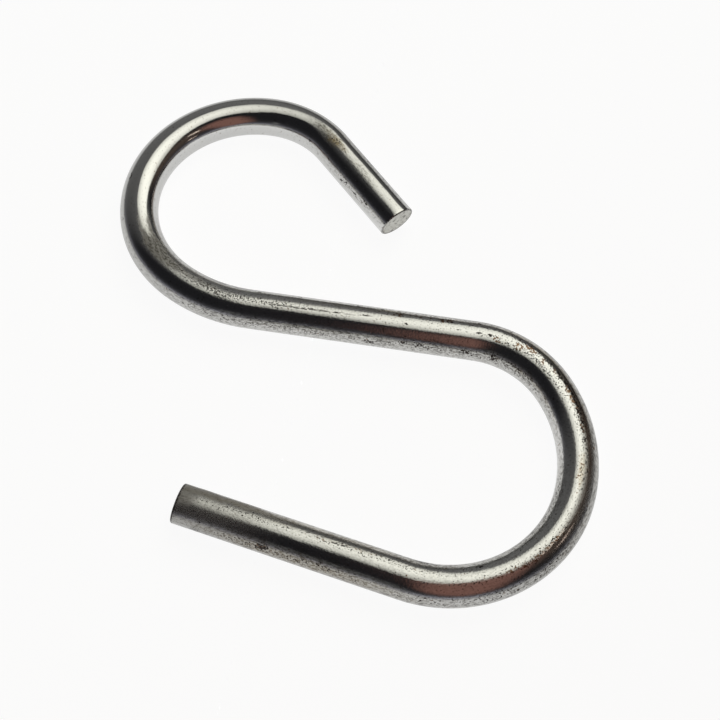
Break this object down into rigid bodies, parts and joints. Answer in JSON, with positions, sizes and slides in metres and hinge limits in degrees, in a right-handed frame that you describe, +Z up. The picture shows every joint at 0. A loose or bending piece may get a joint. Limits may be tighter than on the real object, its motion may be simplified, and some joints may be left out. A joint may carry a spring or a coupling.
{
  "type": "s hook",
  "caption": "Bent wire S hook of round zinc-plated steel, with a closer curled hook at one end, an open hook at the other and plain sheared tips.",
  "frame": {"origin": "middle of the hook's bounding box, on the surface that the hook lies on", "axes": "+Z up through the flat of the hook; +Y along the load line, from the crown of the lower, open hook to the crown of the upper, closer curled hook; +X to the side of the upper hook's tip"},
  "size_m": [0.0408, 0.0642, 0.004],
  "materials": {
    "zinc_plated_steel": "bright zinc plating on drawn steel wire, glossy and worn, with fine draw lines, dark pits and rust-brown specks"
  },
  "bodies": {
    "root": {"s_hook": "zinc_plated_steel"}
  },
  "joints": []
}
